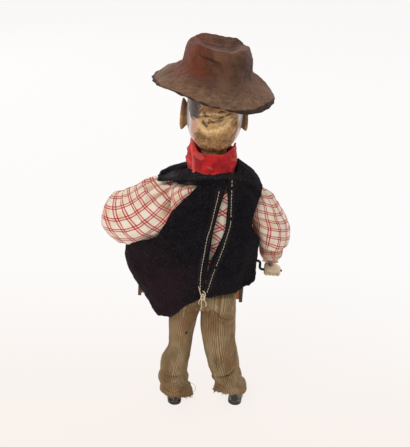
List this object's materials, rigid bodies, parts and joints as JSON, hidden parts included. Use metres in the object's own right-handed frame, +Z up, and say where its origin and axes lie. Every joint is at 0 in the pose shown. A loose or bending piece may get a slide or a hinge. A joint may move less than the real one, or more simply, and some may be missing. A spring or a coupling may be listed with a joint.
{
  "type": "organ grinder automaton",
  "caption": "Clockwork figure of an organ grinder in felt hat, neckerchief, waistcoat and checked shirt, whose right hand turns the crank of a small wooden barrel organ.",
  "frame": {"origin": "Middle of the whole figure's box, on the surface that the soles stand on.", "axes": "+Z up; the figure faces -Y, its left side is towards +X and the crank towards -X."},
  "size_m": [0.132, 0.1053, 0.2801],
  "materials": {
    "hat_felt": "worn brown moulded felt",
    "head_composition": "painted composition, bare and cracked behind",
    "limewood": "plain turned and sawn limewood",
    "red_cloth": "coarse red cotton",
    "checked_cotton": "cream cotton with a red double check",
    "navy_felt": "near-black navy felt, fuzzy",
    "thread": "tan linen thread",
    "iron_wire": "annealed iron wire",
    "hand_wood": "light painted wood, worn",
    "corduroy": "olive-tan fine corduroy",
    "black_gloss": "glossy black enamel, chipped",
    "organ_wood": "orange-tan varnished wood",
    "organ_front_wood": "red-brown varnished wood",
    "organ_dark_wood": "dark stained wood",
    "pipe_wood": "pale varnished wood",
    "steel": "plain steel",
    "spring_steel": "blued spring steel",
    "crank_wire": "dark lacquered wire",
    "brass": "sawn and turned brass"
  },
  "bodies": {
    "root": {"neck_peg": "limewood", "neckerchief": "red_cloth", "torso": "limewood", "shirt_body": "checked_cotton", "waistcoat": "navy_felt", "waistcoat_tie": "thread", "left_arm": "iron_wire", "left_sleeve": "checked_cotton", "left_hand": "hand_wood", "right_upper_arm": "iron_wire", "right_upper_sleeve": "checked_cotton", "trousers": "corduroy", "left_leg": "limewood", "right_leg": "limewood", "left_shoe": "black_gloss", "right_shoe": "black_gloss", "organ_base": "organ_wood", "organ_back": "organ_wood", "organ_front": "organ_front_wood", "organ_left_side": "organ_dark_wood", "organ_right_side": "organ_dark_wood", "organ_lid": "organ_dark_wood", "organ_pipes": "pipe_wood", "organ_bracket": "limewood", "bracket_screws": "steel", "panel_pins": "steel", "right_plate": "brass", "left_plate": "brass", "pillars": "brass", "pillar_screws": "steel", "side_bushes": "brass", "mainspring": "spring_steel"},
    "head_body": {"head": "head_composition", "hat": "hat_felt"},
    "crank_body": {"crank": "crank_wire", "crank_pinion": "brass", "crank_wheel": "brass"},
    "hand_body": {"right_hand": "hand_wood", "right_forearm": "iron_wire", "right_lower_sleeve": "checked_cotton"},
    "great_body": {"great_wheel": "brass", "winding_arbor": "steel", "ratchet_wheel": "steel", "click": "steel", "click_spring": "steel"},
    "third_body": {"third_arbor": "steel", "third_pinion": "brass", "third_wheel": "brass"},
    "fly_body": {"fly_arbor": "steel", "fly_pinion": "brass", "fly": "brass"}
  },
  "joints": [
    {"name": "head_turn", "type": "hinge", "parent": "root", "child": "head_body", "pos_m": [-0.008, 0.0129, 0.1975], "axis": [0, 0, 1], "range_deg": [-15, 15]},
    {"name": "crank_turn", "type": "hinge", "parent": "root", "child": "crank_body", "pos_m": [-0.049, -0.0241, 0.1035], "axis": [1, 0, 0], "continuous": true},
    {"name": "hand_turn", "type": "hinge", "parent": "crank_body", "child": "hand_body", "pos_m": [-0.0585, -0.0241, 0.0965], "axis": [1, 0, 0], "continuous": true},
    {"name": "great_turn", "type": "hinge", "parent": "root", "child": "great_body", "pos_m": [-0.028, -0.03471, 0.09289], "axis": [1, 0, 0], "continuous": true},
    {"name": "third_turn", "type": "hinge", "parent": "root", "child": "third_body", "pos_m": [-0.018, -0.02519, 0.11595], "axis": [1, 0, 0], "continuous": true},
    {"name": "fly_turn", "type": "hinge", "parent": "root", "child": "fly_body", "pos_m": [-0.028, -0.03519, 0.11595], "axis": [1, 0, 0], "continuous": true}
  ],
  "couplings": [
    {"joint": "hand_turn", "follows": "crank_turn", "ratio": -1},
    {"joint": "great_turn", "follows": "crank_turn", "ratio": -0.25},
    {"joint": "third_turn", "follows": "crank_turn", "ratio": -4},
    {"joint": "fly_turn", "follows": "crank_turn", "ratio": 12}
  ]
}
